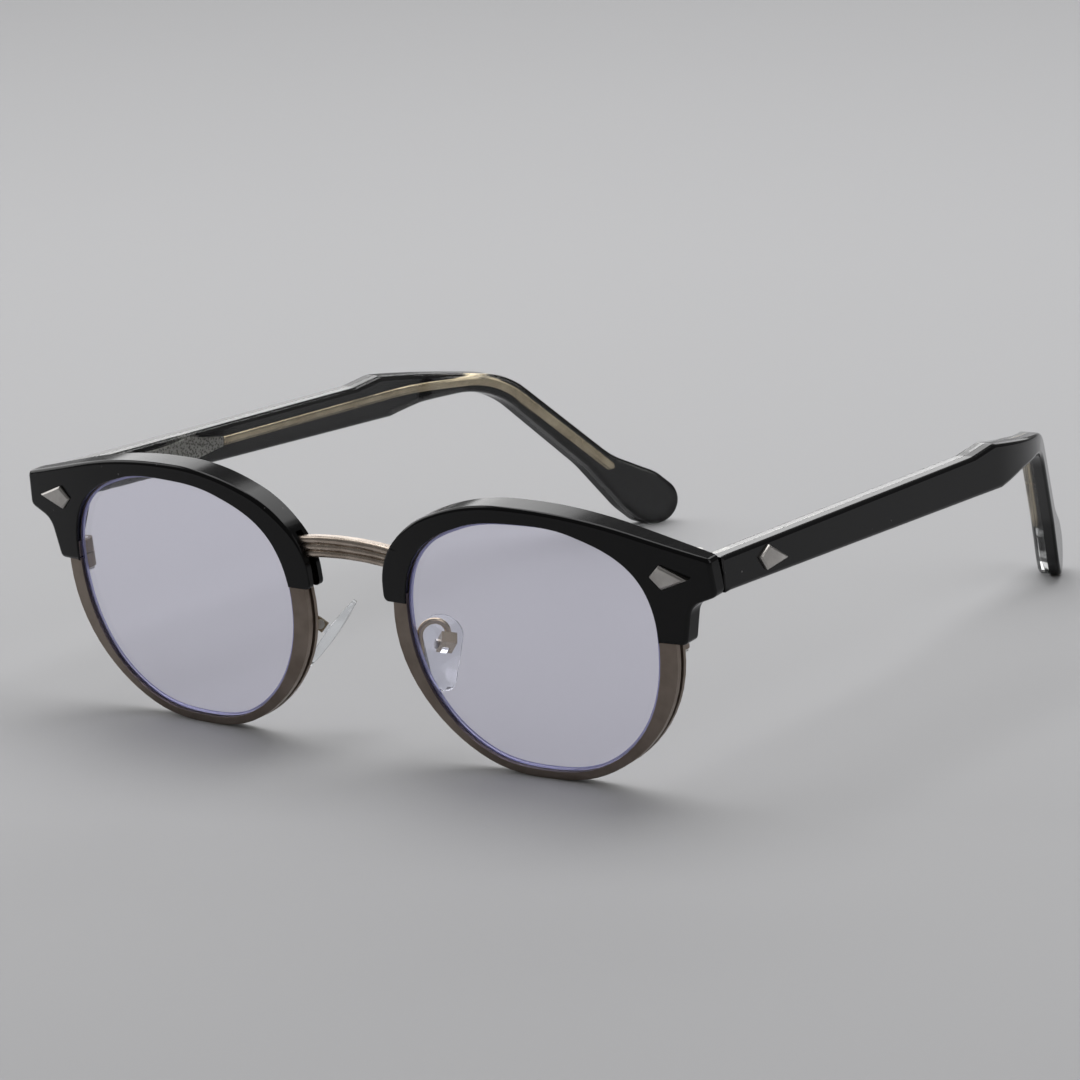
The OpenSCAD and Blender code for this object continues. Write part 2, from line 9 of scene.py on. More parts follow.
import json
import logging
import math
from dataclasses import dataclass, field
from enum import Enum
from typing import Any, Callable, Sequence

import bmesh
import bpy
import numpy as np
from mathutils import Matrix, Vector
from mathutils.geometry import delaunay_2d_cdt

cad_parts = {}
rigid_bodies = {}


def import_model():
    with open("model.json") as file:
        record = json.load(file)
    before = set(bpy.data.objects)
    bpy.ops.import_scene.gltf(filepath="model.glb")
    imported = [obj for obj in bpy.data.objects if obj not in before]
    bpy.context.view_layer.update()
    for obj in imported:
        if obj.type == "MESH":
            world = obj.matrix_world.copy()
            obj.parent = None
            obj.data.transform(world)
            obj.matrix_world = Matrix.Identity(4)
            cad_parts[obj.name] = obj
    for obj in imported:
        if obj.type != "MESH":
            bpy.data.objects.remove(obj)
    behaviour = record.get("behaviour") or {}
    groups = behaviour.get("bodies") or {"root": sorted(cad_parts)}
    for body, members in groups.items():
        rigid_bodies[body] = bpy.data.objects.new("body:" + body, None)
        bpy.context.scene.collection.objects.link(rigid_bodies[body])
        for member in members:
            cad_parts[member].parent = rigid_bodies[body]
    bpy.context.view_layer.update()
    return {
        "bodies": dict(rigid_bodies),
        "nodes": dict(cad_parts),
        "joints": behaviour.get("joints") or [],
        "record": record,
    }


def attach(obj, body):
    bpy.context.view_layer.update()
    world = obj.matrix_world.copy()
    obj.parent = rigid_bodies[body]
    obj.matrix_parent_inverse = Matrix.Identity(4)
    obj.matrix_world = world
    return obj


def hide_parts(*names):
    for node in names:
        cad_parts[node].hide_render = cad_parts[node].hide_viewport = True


MM = 0.001
LOG = logging.getLogger("glasses")

Colour = tuple[float, float, float]
Axes = tuple[float, float, float]
Corner = tuple[float, float, float]
Point = tuple[float, float]
Step = tuple[float, float]
Relief = tuple[float, float]
Place = Callable[[float, float, float], Vector]
Depth = Callable[[float, float], float]
Solid = Callable[[float, float], bool]


class Side(Enum):
    """The two halves of the glasses, named as the wearer sees them."""

    LEFT = "left"
    RIGHT = "right"

    def of(self, piece: str) -> str:
        """Name of this side's copy of a piece."""
        return f"{piece}_{self.value}"

    @property
    def sign(self) -> int:
        """+1 where x grows outwards."""
        return 1 if self is Side.LEFT else -1


# --- shader writing ---


@dataclass(frozen=True)
class Grain:
    """Even noise over a piece.

    Attributes:
        scale: cycles per metre.
        detail: octaves.
        stretch: factor on each axis.
    """

    scale: float
    detail: float = 3.0
    stretch: Axes = (1.0, 1.0, 1.0)


class Sock:
    """A value in a shader, with which sums, products and masks are written."""

    def __init__(self, shader: "Shader", out: bpy.types.NodeSocket) -> None:
        """Keep the socket and the shader that its maths is added to."""
        self.shader = shader
        self.out = out

    def _math(self, operation: str, *values: Any) -> "Sock":
        """Output of a new Math node, fed with sockets or numbers in its order."""
        settings = {"operation": operation}
        return self.shader.node("ShaderNodeMath", settings, dict(enumerate(values)))

    def __add__(self, other: Any) -> "Sock":
        """Sum of two values."""
        return self._math("ADD", self, other)

    __radd__ = __add__

    def __sub__(self, other: Any) -> "Sock":
        """Difference of two values."""
        return self._math("SUBTRACT", self, other)

    def __rsub__(self, other: Any) -> "Sock":
        """Difference the other way round."""
        return self._math("SUBTRACT", other, self)

    def __mul__(self, other: Any) -> "Sock":
        """Product of two values."""
        return self._math("MULTIPLY", self, other)

    __rmul__ = __mul__

    def above(self, level: float, soft: float) -> "Sock":
        """Smooth step from 0 to 1 around a level.

        Args:
            level: value at which the step is half done.
            soft: half width of the step.

        Returns:
            The stepped value.
        """
        return self.shader.node(
            "ShaderNodeMapRange", {"interpolation_type": "SMOOTHSTEP", "clamp": True},
            {"Value": self, "From Min": level - soft, "From Max": level + soft})


class Shader:
    """A material under construction."""

    def __init__(self, name: str) -> None:
        """Start an empty node material.

        Args:
            name: its name.
        """
        self.material = bpy.data.materials.new(name)
        self.material.use_nodes = True
        self.tree = self.material.node_tree
        self.tree.nodes.clear()

    def node(self, kind: str, settings: dict[str, Any] | None = None,
             values: dict[Any, Any] | None = None, output: int | str = 0) -> Sock:
        """Add a node.

        Args:
            kind: the node's type.
            settings: properties that are set before its sockets.
            values: numbers, colours or links by socket name or number.
            output: which output to return.

        Returns:
            The chosen output.
        """
        made = self.tree.nodes.new(kind)
        for key, value in (settings or {}).items():
            setattr(made, key, value)
        for key, value in (values or {}).items():
            socket = made.inputs[key]
            if isinstance(value, Sock):
                self.tree.links.new(value.out, socket)
            elif isinstance(value, tuple) and len(value) == 3 and socket.type == "RGBA":
                socket.default_value = (*value, 1.0)
            else:
                socket.default_value = value
        return Sock(self, made.outputs[output])

    def noise(self, grain: Grain) -> Sock:
        """Noise from 0 to 1 over the piece.

        Args:
            grain: what it is like.

        Returns:
            The noise value.
        """
        spot = self.node("ShaderNodeTexCoord", output="Object")
        spot = self.node("ShaderNodeMapping", {}, {"Vector": spot, "Scale": grain.stretch})
        values = {"Vector": spot, "Scale": grain.scale, "Detail": grain.detail}
        return self.node("ShaderNodeTexNoise", {}, values)

    def cells(self, scale: float) -> Sock:
        """Distance to the nearest of many scattered points, so many to a metre."""
        spot = self.node("ShaderNodeTexCoord", output="Object")
        return self.node("ShaderNodeTexVoronoi", {}, {"Vector": spot, "Scale": scale})

    def mix(self, mask: Any, low: Any, high: Any) -> Sock:
        """Mix of two colours by a mask."""
        values = {0: mask, 6: low, 7: high}
        return self.node("ShaderNodeMix", {"data_type": "RGBA"}, values, output=2)

    def clouded(self, mask: Sock, colour: Colour, share: float) -> Sock:
        """A colour that drifts to one with a share of its light."""
        return self.mix(mask, colour, tuple(part * share for part in colour))

    def bump(self, height: Sock, relief: Relief) -> Sock:
        """Normal bent by a height: relief is the metres that 1 stands for, and their share."""
        values = {"Height": height, "Distance": relief[0], "Strength": relief[1]}
        return self.node("ShaderNodeBump", {}, values)

    def finish(self, **inputs: Any) -> bpy.types.Material:
        """Close the material with one Principled shader.

        Args:
            inputs: socket values, with underscores for spaces.

        Returns:
            The finished material.
        """
        named = {key.replace("_", " "): value for key, value in inputs.items()}
        surface = self.node("ShaderNodeBsdfPrincipled", {}, named)
        end = self.tree.nodes.new("ShaderNodeOutputMaterial")
        self.tree.links.new(surface.out, end.inputs["Surface"])
        return self.material


# --- finishes ---


@dataclass(frozen=True)
class BlackAcetate:
    """Polished black acetate with polishing hairlines and a few specks of dust."""

    name: str = "black_acetate"
    colour: Colour = (0.0012, 0.0012, 0.0014)
    cloud: Grain = Grain(60.0, 2.0)
    cloud_share: float = 1.8
    hair: Grain = Grain(900.0, 4.0, (1.0, 0.12, 1.0))
    relief: Relief = (2e-6, 0.35)
    dust: Colour = (0.12, 0.12, 0.12)
    specks: float = 420.0
    speck_step: Step = (0.07, 0.02)
    patch: Grain = Grain(150.0, 1.0)
    patch_step: Step = (0.6, 0.03)
    rough: float = 0.09
    rough_hair: float = 0.07
    rough_dust: float = 0.3
    index: float = 1.49
    shine: float = 0.27

    def make(self) -> bpy.types.Material:
        """Build the material.

        Returns:
            The material.
        """
        shader = Shader(self.name)
        hair = shader.noise(self.hair)
        speck = 1 - shader.cells(self.specks).above(*self.speck_step)
        dust = speck * shader.noise(self.patch).above(*self.patch_step)
        body = shader.clouded(shader.noise(self.cloud), self.colour, self.cloud_share)
        return shader.finish(
            Base_Color=shader.mix(dust, body, self.dust),
            Roughness=self.rough + self.rough_hair * hair + self.rough_dust * dust,
            IOR=self.index,
            Specular_IOR_Level=self.shine,
            Normal=shader.bump(hair, self.relief),
        )


@dataclass(frozen=True)
class ClearPlastic:
    """Clear polished plastic that shows what lies in it and behind it."""

    name: str
    colour: Colour
    rough: float
    index: float
    cloud: Grain = Grain(140.0)
    cloud_share: float = 0.95
    hair: Grain = Grain(700.0, stretch=(1.0, 0.15, 1.0))
    rough_hair: float = 0.04
    relief: Relief = (2e-6, 0.25)

    def make(self) -> bpy.types.Material:
        """Build the material.

        Returns:
            The material.
        """
        shader = Shader(self.name)
        hair = shader.noise(self.hair)
        return shader.finish(
            Base_Color=shader.clouded(shader.noise(self.cloud), self.colour, self.cloud_share),
            Roughness=self.rough + self.rough_hair * hair,
            IOR=self.index,
            Transmission_Weight=1.0,
            Normal=shader.bump(hair, self.relief),
        )


@dataclass(frozen=True)
class Plating:
    """Plated metal with fine drawing lines and darker, worn patches."""

    name: str
    colour: Colour
    dark: Colour
    rough: float
    lines: Axes = (1.0, 1.0, 1.0)
    relief: Relief = (3e-6, 0.6)
    line_scale: float = 4200.0
    patch: Grain = Grain(220.0, 4.0)
    patch_step: Step = (0.52, 0.2)
    rough_line: float = 0.12
    rough_patch: float = 0.06

    def make(self) -> bpy.types.Material:
        """Build the material.

        Returns:
            The material.
        """
        shader = Shader(self.name)
        patch = shader.noise(self.patch)
        line = shader.noise(Grain(self.line_scale, stretch=self.lines))
        return shader.finish(
            Base_Color=shader.mix(patch.above(*self.patch_step), self.colour, self.dark),
            Metallic=1.0,
            Roughness=self.rough + self.rough_line * line + self.rough_patch * patch,
            Normal=shader.bump(line, self.relief),
        )


@dataclass(frozen=True)
class EtchedSteel:
    """Steel of the temple half of a hinge: its plate is etched with a fine random grain."""

    name: str = "etched_steel"
    colour: Colour = (0.50, 0.49, 0.46)
    pit: Colour = (0.16, 0.155, 0.145)
    pits: float = 2600.0
    pit_step: Step = (0.45, 0.25)
    fleck: Grain = Grain(5200.0, 2.0)
    rough: float = 0.3
    rough_fleck: float = 0.25
    relief: Relief = (4e-5, 0.9)

    def make(self) -> bpy.types.Material:
        """Build the material.

        Returns:
            The material.
        """
        shader = Shader(self.name)
        pits = shader.cells(self.pits).above(*self.pit_step)
        fleck = shader.noise(self.fleck)
        return shader.finish(
            Base_Color=shader.mix(pits, self.pit, self.colour),
            Metallic=1.0,
            Roughness=self.rough + self.rough_fleck * fleck,
            Normal=shader.bump(pits * fleck, self.relief),
        )


@dataclass(frozen=True)
class LensCoat:
    """Coated lens: a faint violet tint, clear to look through. Made bluer, darker and half clear,
    it is also a painted reflection on the lens's rounded edge.
    """

    name: str
    colour: Colour
    rough: float
    through: float
    haze: Grain = Grain(45.0, 2.0)
    haze_share: float = 0.985
    rough_haze: float = 0.012
    index: float = 1.5

    def make(self) -> bpy.types.Material:
        """Build the material.

        Returns:
            The material.
        """
        shader = Shader(self.name)
        haze = shader.noise(self.haze)
        return shader.finish(
            Base_Color=shader.clouded(haze, self.colour, self.haze_share),
            Roughness=self.rough + self.rough_haze * haze,
            IOR=self.index,
            Transmission_Weight=self.through,
        )


@dataclass(frozen=True)
class FloorPaint:
    """Plain pale floor."""

    colour: Colour = (0.50, 0.50, 0.51)
    cloud: Grain = Grain(6.0)
    cloud_share: float = 0.97
    rough: float = 0.75

    def make(self) -> bpy.types.Material:
        """Build the material.

        Returns:
            The material.
        """
        shader = Shader("floor")
        return shader.finish(
            Base_Color=shader.clouded(shader.noise(self.cloud), self.colour, self.cloud_share),
            Roughness=self.rough,
        )


class Wardrobe:
    """All finishes, made once and handed out by name."""

    def __init__(self) -> None:
        """Make every finish."""
        made = [
            BlackAcetate(),
            ClearPlastic("clear_acetate", (0.80, 0.81, 0.80), 0.05, 1.49),
            ClearPlastic("pad_plastic", (0.94, 0.96, 0.98), 0.03, 1.46),
            Plating("bronze_rim", (0.27, 0.225, 0.19), (0.21, 0.17, 0.14), 0.32),
            Plating("bronze_bridge", (0.55, 0.47, 0.40), (0.40, 0.33, 0.27), 0.18,
                    lines=(0.1, 1.0, 1.0)),
            Plating("pale_gold", (0.62, 0.53, 0.38), (0.46, 0.38, 0.26), 0.16),
            Plating("gunmetal", (0.58, 0.49, 0.36), (0.36, 0.30, 0.22), 0.14),
            Plating("rivet_silver", (0.62, 0.60, 0.57), (0.42, 0.40, 0.38), 0.22,
                    relief=(8e-6, 0.6)),
            Plating("steel", (0.66, 0.65, 0.63), (0.55, 0.54, 0.52), 0.22),
            EtchedSteel(),
            LensCoat("lens_coat", (0.87, 0.86, 0.965), 0.0, 1.0),
            # painted reflection: the lens's rounded edges are coloured violet and half clear to
            # stand in for the bright line along the lens's edge
            LensCoat("lens_edge_painted_reflection", (0.42, 0.42, 0.86), 0.25, 0.45),
        ]
        self.finishes = {finish.name: finish.make() for finish in made}

    def __getitem__(self, name: str) -> bpy.types.Material:
        """The finish of that name."""
        return self.finishes[name]


# --- outlines and layered forms ---

CLOSEST = 0.1  # points of an outline that lie nearer than this are one
MEET = 1e-3  # distance within which crossing outlines meet
INSIDE = 1  # asks for the triangles inside the outlines only
ROW = 0.866  # height of a row of even triangles, against their side
KEEP_OFF = 0.7  # how far a face's own points keep off an outline, against the grid
SHARP = 35.0  # degrees from which a form's edge is shaded sharp


@dataclass(frozen=True)
class Outline:
    """A closed line of points."""

    points: tuple[Point, ...]

    @classmethod
    def rounded(cls, corners: Sequence[Corner], turn: float = 1.5,
                least: float = 0.45) -> "Outline":
        """Outline through corners that each have a radius.

        Args:
            corners: x, y and radius of each corner.
            turn: angle between two points of an arc, in degrees.
            least: distance that they keep where the arc is small.

        Returns:
            The outline.
        """
        points: list[Point] = []
        for i, (x, y, radius) in enumerate(corners):
            if not radius:
                points.append((x, y))
                continue
            here = Vector((x, y))
            back = (Vector(corners[i - 1][:2]) - here).normalized()
            on = (Vector(corners[(i + 1) % len(corners)][:2]) - here).normalized()
            half = back.angle(on) / 2
            centre = here + (back + on).normalized() * radius / math.sin(half)
            start = here + back * radius / math.tan(half) - centre
            end = here + on * radius / math.tan(half) - centre
            first = math.atan2(start.y, start.x)
            sweep = (math.atan2(end.y, end.x) - first + math.pi) % math.tau - math.pi
            parts = min(abs(math.degrees(sweep)) / turn, abs(sweep) * radius / least)
            steps = max(2, math.ceil(parts))
            for k in range(steps + 1):
                angle = first + sweep * k / steps
                points.append((centre.x + radius * math.cos(angle),
                               centre.y + radius * math.sin(angle)))
        return cls(tuple(p for i, p in enumerate(points) if math.dist(p, points[i - 1]) > CLOSEST))

    @classmethod
    def box(cls, low: Point, high: Point) -> "Outline":
        """Rectangle between two corners."""
        return cls((low, (high[0], low[1]), high, (low[0], high[1])))

    def fine(self, step: float) -> "Outline":
        """The same line with more points.

        Args:
            step: longest distance between two of them.

        Returns:
            The finer outline.
        """
        points: list[Point] = []
        for a, b in zip(self.points, self.points[1:] + self.points[:1]):
            count = max(1, math.ceil(math.dist(a, b) / step))
            points += [(a[0] + (b[0] - a[0]) * k / count, a[1] + (b[1] - a[1]) * k / count)
                       for k in range(count)]
        return Outline(tuple(points))

    def has(self, x: float, y: float) -> bool:
        """Whether a point lies inside.

        Args:
            x: first coordinate.
            y: second one.

        Returns:
            True inside the line.
        """
        inside = False
        for (ax, ay), (bx, by) in zip(self.points, self.points[1:] + self.points[:1]):
            if (ay > y) != (by > y) and x < ax + (y - ay) / (by - ay) * (bx - ax):
                inside = not inside
        return inside


@dataclass(frozen=True)
class Layer:
    """One layer of a form.

    Attributes:
        solid: whether it is solid at a point of the plan.
        lines: numbers of the outlines that bound it.
        start: depth at which it starts, over the plan.
    """

    solid: Solid
    lines: tuple[int, ...]
    start: Depth


@dataclass
class Stack:
    """A form of layers one behind another, each solid inside its own outlines.

    Attributes:
        back: depth at which the last layer ends.
        place: where a point at a depth lies in the world.
        rounding: share of the edge rounding at a point of a level.
        grid: distance between the points inside the faces.
        spots: points of the outlines and of their crossings.
        edges: pieces of outline between them, each with the outlines that it lies on.
    """

    lines: Sequence[Outline]
    layers: Sequence[Layer]
    back: Depth
    place: Place
    rounding: Callable[[float, float, int], float]
    grid: float = 1.6
    spots: list[Vector] = field(default_factory=list)
    edges: list[tuple[tuple[int, int], set[int]]] = field(default_factory=list)

    def _plan(self) -> list[list[int]]:
        """Cut the outlines where they cross.

        Returns:
            Triangles of the plan that no outline crosses.
        """
        spots: list[Vector] = []
        edges: list[tuple[int, int]] = []
        owner: list[int] = []
        for number, line in enumerate(self.lines):
            first, count = len(spots), len(line.points)
            spots += [Vector(p) for p in line.points]
            edges += [(first + i, first + (i + 1) % count) for i in range(count)]
            owner += [number] * count
        made = delaunay_2d_cdt(spots, edges, [], INSIDE, MEET)
        self.spots = list(made[0])
        self.edges = [(tuple(edge), {owner[i] for i in origins})
                      for edge, origins in zip(made[1], made[4]) if origins]
        return [list(face) for face in made[2]]

    def _shows(self, level: int, x: float, y: float) -> bool:
        """Whether a level has a face at a point.

        Args:
            level: its number.
            x: first coordinate.
            y: second one.

        Returns:
            True where the form is solid on just one side of the level.
        """
        ahead = level > 0 and self.layers[level - 1].solid(x, y)
        behind = level < len(self.layers) and self.layers[level].solid(x, y)
        return ahead != behind

    def _inner(self, level: int, lines: np.ndarray) -> list[Vector]:
        """Points inside the faces of a level, clear of its outlines.

        Args:
            level: number of the level.
            lines: start and end of every piece of its outlines.

        Returns:
            The points.
        """
        low, high = lines[:, 0].min(0), lines[:, 0].max(0)
        run = lines[:, 1] - lines[:, 0]
        squares = (run * run).sum(1) + 1e-12
        kept = []
        for row in range(math.ceil((high[1] - low[1]) / (self.grid * ROW))):
            y = low[1] + (row + 0.5) * self.grid * ROW
            for x in np.arange(low[0] + self.grid * (0.25 + 0.5 * (row % 2)), high[0], self.grid):
                if not self._shows(level, x, y):
                    continue
                away = np.array([x, y]) - lines[:, 0]
                along = np.clip((away * run).sum(1) / squares, 0.0, 1.0)
                if np.hypot(*(away - along[:, None] * run).T).min() > KEEP_OFF * self.grid:
                    kept.append(Vector((x, y)))
        return kept

    def _cap(self, level: int) -> tuple[list[list[int]], dict[int, Vector]]:
        """Divide the faces of one level.

        Args:
            level: its number.

        Returns:
            The faces, and where each of their points lies in the plan. Those that are
            on no outline have negative numbers.
        """
        near = self.layers[max(0, level - 1):level + 1]
        used = {number for layer in near for number in layer.lines}
        edges = [edge for edge, owners in self.edges if owners & used]
        names = sorted({i for edge in edges for i in edge})
        order = {name: i for i, name in enumerate(names)}
        ends = np.array([[tuple(self.spots[i]) for i in edge] for edge in edges])
        inner = self._inner(level, ends)
        spots = [self.spots[i] for i in names] + inner
        names += [-1 - i for i in range(len(inner))]
        pairs = [(order[a], order[b]) for a, b in edges]
        made = delaunay_2d_cdt(spots, pairs, [], INSIDE, 1e-6)
        known = [names[min(origins)] for origins in made[3]]
        faces = []
        for face in made[2]:
            x, y = np.mean([made[0][i] for i in face], axis=0)
            if self._shows(level, x, y):
                faces.append([known[i] for i in face])
        return faces, dict(zip(known, made[0]))

    def _sides(self, layer: Layer, plan: Sequence[Sequence[int]]) -> list[tuple[int, int]]:
        """Pieces of outline round a layer.

        Args:
            layer: the layer.
            plan: triangles of the plan.

        Returns:
            The pieces.
        """
        sides: dict[tuple[int, int], None] = {}
        for face in plan:
            if not layer.solid(*np.mean([self.spots[i] for i in face], axis=0)):
                continue
            for a, b in zip(face, face[1:] + face[:1]):
                if (b, a) in sides:
                    del sides[b, a]
                else:
                    sides[a, b] = None
        return list(sides)

    def mesh(self, name: str) -> bpy.types.Mesh:
        """Build the closed form.

        Args:
            name: name of the mesh.

        Returns:
            The mesh, with the weight of its edge rounding in it.
        """
        plan = self._plan()
        depths = [layer.start for layer in self.layers] + [self.back]
        form = bmesh.new()
        share = form.edges.layers.float.new("bevel_weight_edge")
        made: dict[tuple[int, int], bmesh.types.BMVert] = {}
        caps = []
        for level, depth in enumerate(depths):
            faces, where = self._cap(level)
            for spot in {i for face in faces for i in face}:
                x, y = where[spot]
                made[spot, level] = form.verts.new(self.place(x, y, depth(x, y)))
            caps.append(faces)
        walls = set()
        for level, layer in enumerate(self.layers):
            for a, b in self._sides(layer, plan):
                corners = []
                for spot, at in ((a, level), (b, level), (b, level + 1), (a, level + 1)):
                    if (spot, at) not in made:
                        x, y = self.spots[spot]
                        made[spot, at] = form.verts.new(self.place(x, y, depths[at](x, y)))
                    corners.append(made[spot, at])
                walls.add(form.faces.new(corners))
        for level, faces in enumerate(caps):
            for face in faces:
                form.faces.new([made[spot, level] for spot in face])
        keys = {corner: key for key, corner in made.items()}
        merged = []
        for edge in form.edges:
            (a, level), (b, other) = (keys[corner] for corner in edge.verts)
            joined = sum(face in walls for face in edge.link_faces)
            if level != other or not joined:
                continue
            if joined == len(edge.link_faces):
                merged.append(edge)
            else:
                edge[share] = self.rounding(*((self.spots[a] + self.spots[b]) / 2), level)
        bmesh.ops.dissolve_edges(form, edges=merged, use_verts=True)
        bmesh.ops.recalc_face_normals(form, faces=form.faces)
        for face in form.faces:
            face.smooth = True
        mesh = bpy.data.meshes.new(name)
        form.to_mesh(mesh)
        form.free()
        mesh.set_sharp_from_angle(angle=math.radians(SHARP))
        return mesh


# --- the workshop: puts pieces and finishes on the model ---


def put_in(name: str, data: bpy.types.ID) -> bpy.types.Object:
    """Put an object with that data in the scene."""
    item = bpy.data.objects.new(name, data)
    bpy.context.collection.objects.link(item)
    return item


@dataclass(frozen=True)
class Dress:
    """Finish and edge width of one kind of solid, and degrees up to which facets are joined."""

    piece: str
    finish: str
    edge: float
    flat: float = 1.5


BEND = 28.0  # degrees from which an edge of a solid is rounded
CREASE = 32.0  # degrees from which it is shaded sharp
WELD = 1e-6  # metres within which its corners are one


@dataclass
class Workshop:
    """The loaded model, its finishes and what every piece needs to take its place."""

    frame: dict[str, Any]
    wardrobe: Wardrobe
    owner: dict[str, str] = field(default_factory=dict)
    slots: dict[str, str] = field(default_factory=dict)
    soft: bpy.types.NodeTree | None = None

    def __post_init__(self) -> None:
        """Read the bodies and slots from the model's record."""
        record = self.frame["record"]
        for body, nodes in record["behaviour"]["bodies"].items():
            self.owner.update({node: body for node in nodes})
        self.slots = {row["node"]: row["material_slot"] for row in record["subparts"]}
        self.soft = self._soft_shading()

    @staticmethod
    def _soft_shading() -> bpy.types.NodeTree:
        """Geometry nodes that shade smoothly across all but sharp edges.

        Returns:
            The node group.
        """
        group = bpy.data.node_groups.new("soft_shading", "GeometryNodeTree")
        for way in ("INPUT", "OUTPUT"):
            group.interface.new_socket("Geometry", in_out=way, socket_type="NodeSocketGeometry")
        add, link = group.nodes.new, group.links.new
        start, end = add("NodeGroupInput"), add("NodeGroupOutput")
        faces, edges = add("GeometryNodeSetShadeSmooth"), add("GeometryNodeSetShadeSmooth")
        angle, over = add("GeometryNodeInputMeshEdgeAngle"), add("FunctionNodeCompare")
        edges.domain = "EDGE"
        edges.inputs["Shade Smooth"].default_value = False
        over.inputs[1].default_value = math.radians(CREASE)
        link(start.outputs[0], faces.inputs[0])
        link(faces.outputs[0], edges.inputs[0])
        link(angle.outputs[0], over.inputs[0])
        link(over.outputs[0], edges.inputs["Selection"])
        link(edges.outputs[0], end.inputs[0])
        return group

    def round_edges(self, item: bpy.types.Object, width: float, weighted: bool,
                    segments: int = 3, finish: int = -1) -> None:
        """Round the edges of a piece.

        Args:
            item: the piece.
            width: width of the rounding, in millimetres.
            weighted: whether the mesh says which edges, or else their angle does.
            segments: faces across the rounding.
            finish: number of the finish on the rounding, or -1 for the neighbour's.
        """
        bevel = item.modifiers.new("edge", "BEVEL")
        bevel.width = width * MM
        bevel.segments = segments
        bevel.limit_method = "WEIGHT" if weighted else "ANGLE"
        bevel.angle_limit = math.radians(BEND)
        bevel.use_clamp_overlap = not weighted
        bevel.material = finish
        bevel.loop_slide = not weighted
        if not weighted:
            shade = item.modifiers.new("soft", "NODES")
            shade.node_group = self.soft
        even = item.modifiers.new("even", "WEIGHTED_NORMAL")
        even.keep_sharp = True

    def dress(self, node: str, look: Dress) -> None:
        """Round a solid's edges and put its finish on.

        Args:
            node: the solid.
            look: how it is finished.
        """
        solid = self.frame["nodes"][node]
        solid.data.materials.clear()
        solid.data.materials.append(self.wardrobe[look.finish])
        weld = solid.modifiers.new("weld", "WELD")
        weld.merge_threshold = WELD
        merge = solid.modifiers.new("merge", "DECIMATE")
        merge.decimate_type = "DISSOLVE"
        merge.angle_limit = math.radians(look.flat)
        self.round_edges(solid, look.edge, weighted=False)
        LOG.info("dressed %s", node)

    def stand_in(self, node: str, mesh: bpy.types.Mesh, finishes: Sequence[str],
                 edge: float, segments: int = 3) -> None:
        """Put a finer form in the place of a solid.

        Args:
            node: the solid that it stands for.
            mesh: the form.
            finishes: its finish, and the one of its rounded edges where that differs.
            edge: width of the rounding, in millimetres.
            segments: faces across the rounding.
        """
        item = put_in(mesh.name, mesh)
        for finish in finishes:
            mesh.materials.append(self.wardrobe[finish])
        self.round_edges(item, edge, weighted=True, segments=segments, finish=len(finishes) - 1)
        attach(item, self.owner[node])
        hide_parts(node)
        LOG.info("built %s", mesh.name)


# --- the front ---


def sag(radius: float, away: float) -> float:
    """How far a curve of that radius falls back, away from its top."""
    return radius - math.sqrt(radius * radius - away * away)


